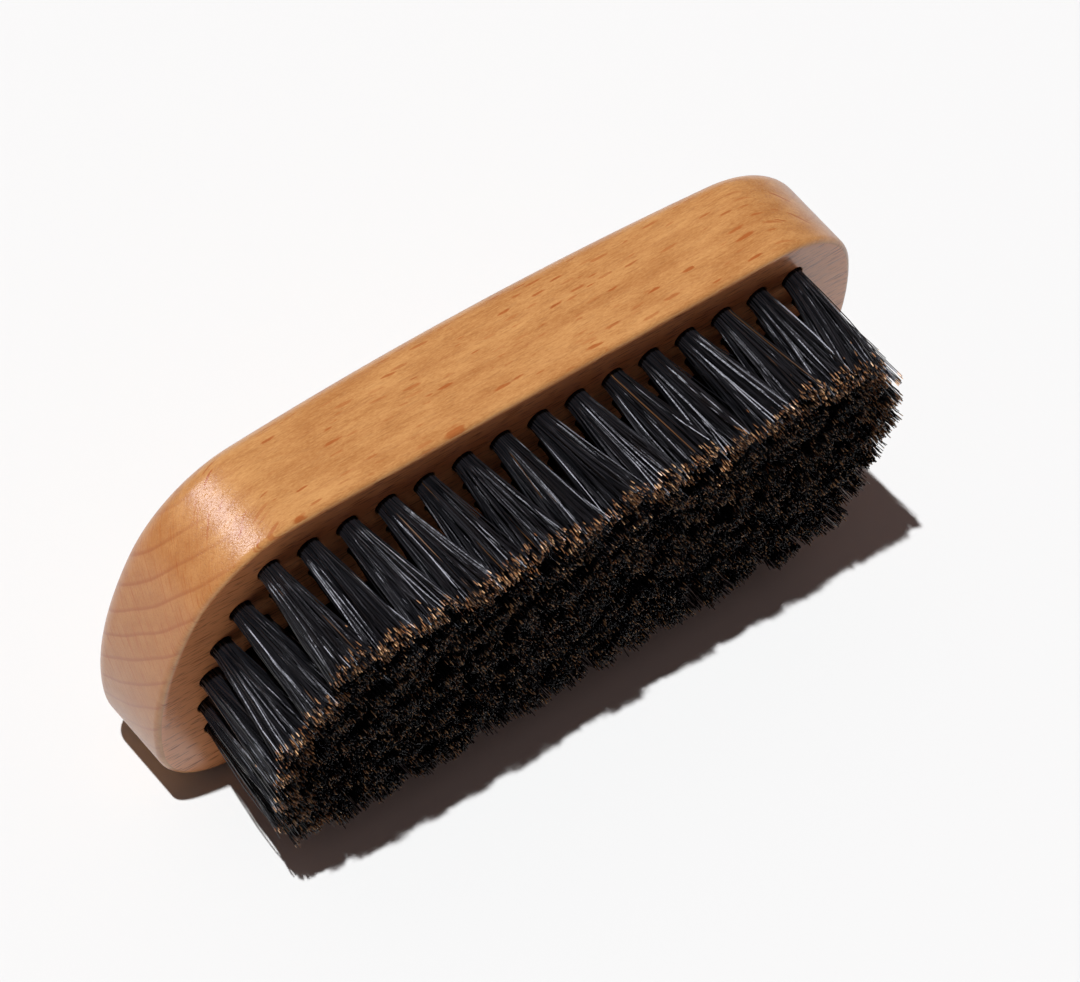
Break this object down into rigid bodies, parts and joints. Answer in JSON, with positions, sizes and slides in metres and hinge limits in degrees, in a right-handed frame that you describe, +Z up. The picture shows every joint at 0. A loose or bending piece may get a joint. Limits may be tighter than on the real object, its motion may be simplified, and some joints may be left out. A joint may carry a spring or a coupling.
{
  "type": "beard brush",
  "caption": "Palm-held beard brush: a lacquered wooden block with shallow round ends, drilled with rows of blind holes that each hold a tuft of dark boar bristle.",
  "frame": {"origin": "on the surface that the brush lies on, under the middle of its box: halfway along it and halfway between the bristle tips and the back", "axes": "+X along the brush's length, +Y from the bristle tips through to the back of the block, +Z up, out of the upper long side; the brush lies on its other long side"},
  "size_m": [0.1112, 0.0338, 0.0493],
  "materials": {
    "lacquered_beech": "satin",
    "boar_bristle": "satin",
    "anchor_wire": "satin"
  },
  "bodies": {
    "root": {"block": "lacquered_beech", "top_row_tuft_01": "boar_bristle", "top_row_tuft_02": "boar_bristle", "top_row_tuft_03": "boar_bristle", "top_row_tuft_04": "boar_bristle", "top_row_tuft_05": "boar_bristle", "top_row_tuft_06": "boar_bristle", "top_row_tuft_07": "boar_bristle", "top_row_tuft_08": "boar_bristle", "top_row_tuft_09": "boar_bristle", "top_row_tuft_10": "boar_bristle", "top_row_tuft_11": "boar_bristle", "top_row_tuft_12": "boar_bristle", "top_row_tuft_13": "boar_bristle", "top_row_tuft_14": "boar_bristle", "top_row_tuft_15": "boar_bristle", "row_2_left_tuft": "boar_bristle", "row_2_inner_tufts": "boar_bristle", "row_2_right_tuft": "boar_bristle", "row_3_left_tuft": "boar_bristle", "row_3_inner_tufts": "boar_bristle", "row_3_right_tuft": "boar_bristle", "row_4_left_tuft": "boar_bristle", "row_4_inner_tufts": "boar_bristle", "row_4_right_tuft": "boar_bristle", "row_5_left_tuft": "boar_bristle", "row_5_inner_tufts": "boar_bristle", "row_5_right_tuft": "boar_bristle", "row_6_left_tuft": "boar_bristle", "row_6_inner_tufts": "boar_bristle", "row_6_right_tuft": "boar_bristle", "bottom_row_tuft_01": "boar_bristle", "bottom_row_tuft_02": "boar_bristle", "bottom_row_tuft_03": "boar_bristle", "bottom_row_tuft_04": "boar_bristle", "bottom_row_tuft_05": "boar_bristle", "bottom_row_tuft_06": "boar_bristle", "bottom_row_tuft_07": "boar_bristle", "bottom_row_tuft_08": "boar_bristle", "bottom_row_tuft_09": "boar_bristle", "bottom_row_tuft_10": "boar_bristle", "bottom_row_tuft_11": "boar_bristle", "bottom_row_tuft_12": "boar_bristle", "bottom_row_tuft_13": "boar_bristle", "bottom_row_tuft_14": "boar_bristle", "bottom_row_tuft_15": "boar_bristle"}
  },
  "joints": []
}
